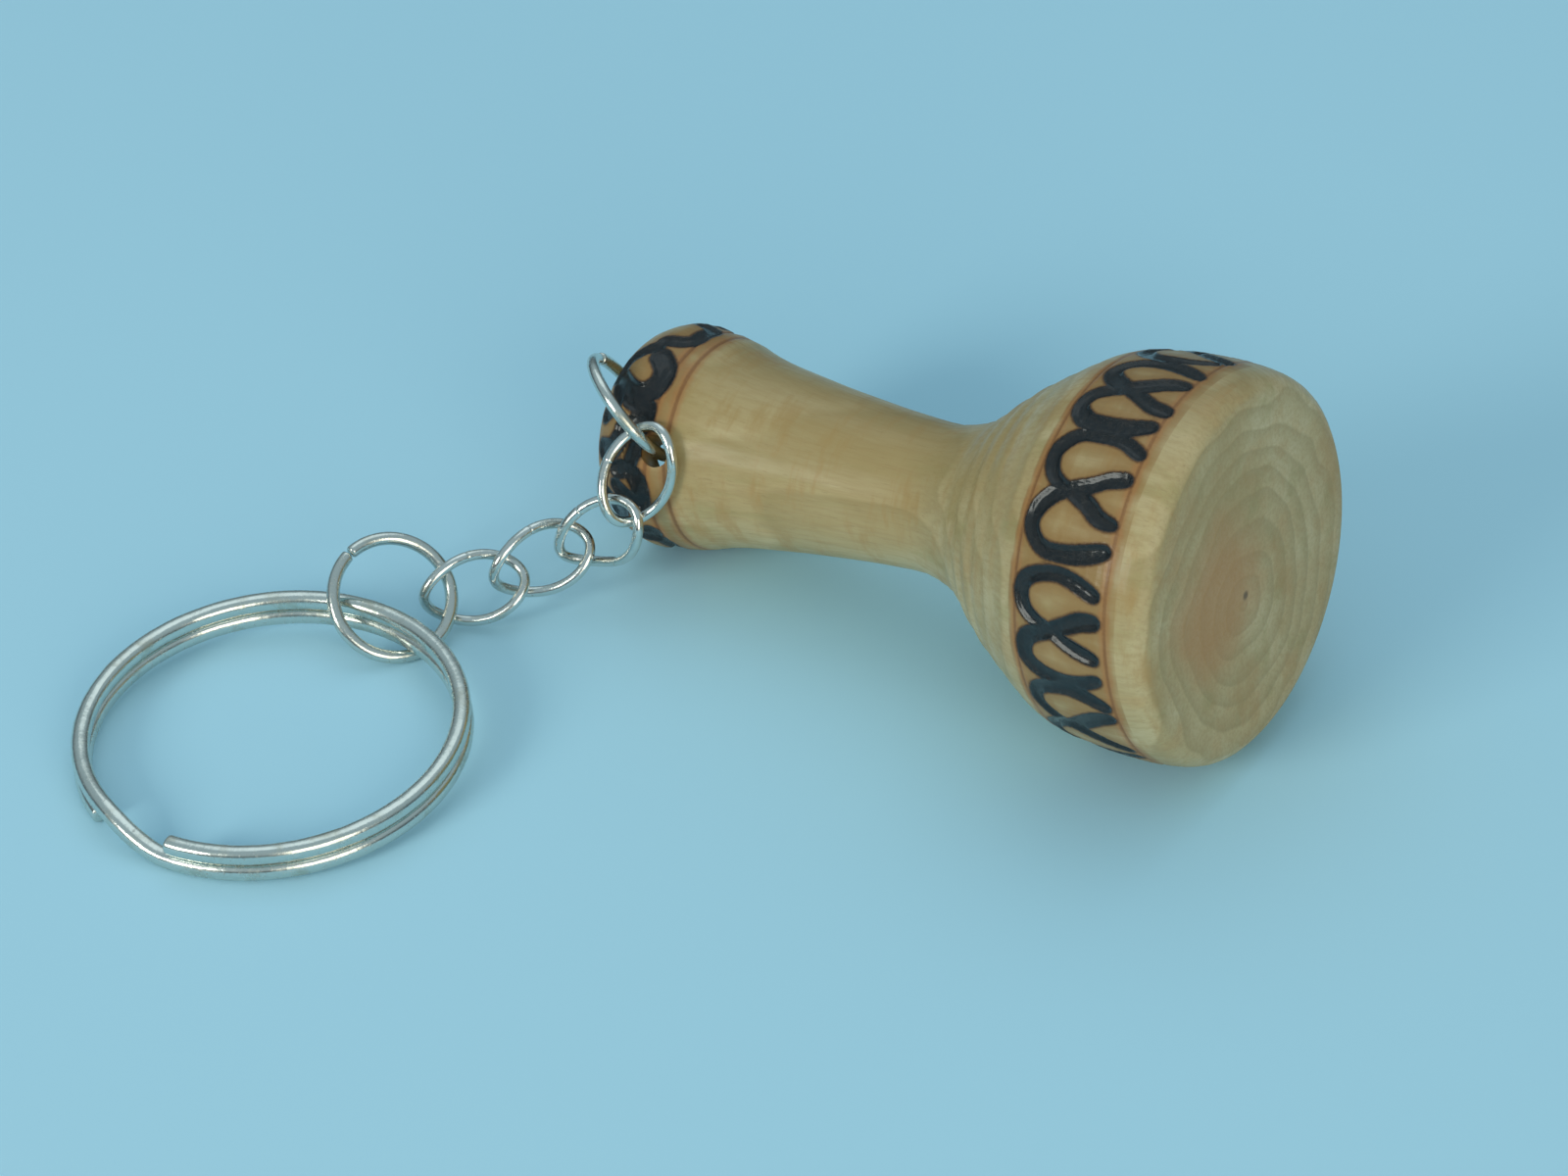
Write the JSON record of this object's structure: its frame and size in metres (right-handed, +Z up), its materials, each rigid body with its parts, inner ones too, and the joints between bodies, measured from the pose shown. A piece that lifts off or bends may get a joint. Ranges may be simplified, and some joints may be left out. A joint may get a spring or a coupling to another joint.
{
  "type": "keychain",
  "caption": "Turned wooden drum with burned bands, hung by its foot on a short curb chain with a split ring for keys.",
  "frame": {"origin": "on the table under the middle of the keychain's box, as it lies on its side", "axes": "+X along the drum from its foot to its head, seen from above; +Z up; +Y completes the right-handed frame"},
  "size_m": [0.0646, 0.0577, 0.0252],
  "materials": {
    "wood": "clear satin varnish, burned bands and loops",
    "nickel": "bright nickel plating"
  },
  "bodies": {
    "drum": {"drum_body": "wood"},
    "foot_ring": {"foot_ring": "nickel"},
    "link_1": {"chain_link_1": "nickel"},
    "link_2": {"chain_link_2": "nickel"},
    "link_3": {"chain_link_3": "nickel"},
    "link_4": {"chain_link_4": "nickel"},
    "jump_ring": {"jump_ring": "nickel"},
    "split_ring": {"split_ring": "nickel"}
  },
  "joints": [
    {"name": "foot_ring_slide_round", "type": "hinge", "parent": "drum", "child": "foot_ring", "pos_m": [-0.01225, 0.0123, 0.01168], "axis": [0.5556, 0.5979, 0.5779], "range_deg": [-120, 0]},
    {"name": "chain_link_1_swing", "type": "hinge", "parent": "foot_ring", "child": "link_1", "pos_m": [-0.01015, 0.01014, 0.01214], "axis": [-0.7412, -0.4881, -0.4608], "range_deg": [0, 110]},
    {"name": "chain_link_2_swing", "type": "hinge", "parent": "link_1", "child": "link_2", "pos_m": [-0.00888, 0.00779, 0.00695], "axis": [0.6189, 0.7443, 0.2508], "range_deg": [-110, 10]},
    {"name": "chain_link_3_swing", "type": "hinge", "parent": "link_2", "child": "link_3", "pos_m": [-0.01208, 0.00681, 0.00291], "axis": [0.9438, 0.3207, 0.0803], "range_deg": [-50, 10]},
    {"name": "chain_link_4_swing", "type": "hinge", "parent": "link_3", "child": "link_4", "pos_m": [-0.01593, 0.00214, 0.00439], "axis": [-0.2499, -0.5758, -0.7785], "range_deg": [-14, 95]},
    {"name": "jump_ring_swing", "type": "hinge", "parent": "link_4", "child": "jump_ring", "pos_m": [-0.01907, 0.00032, 0.00357], "axis": [-0.7035, 0.1971, 0.6829], "range_deg": [-10, 70]},
    {"name": "split_ring_swing", "type": "hinge", "parent": "jump_ring", "child": "split_ring", "pos_m": [-0.0201, -0.00449, 0.00217], "axis": [-0.9997, -0.0217, -0.0072], "range_deg": [-115, 115]}
  ]
}
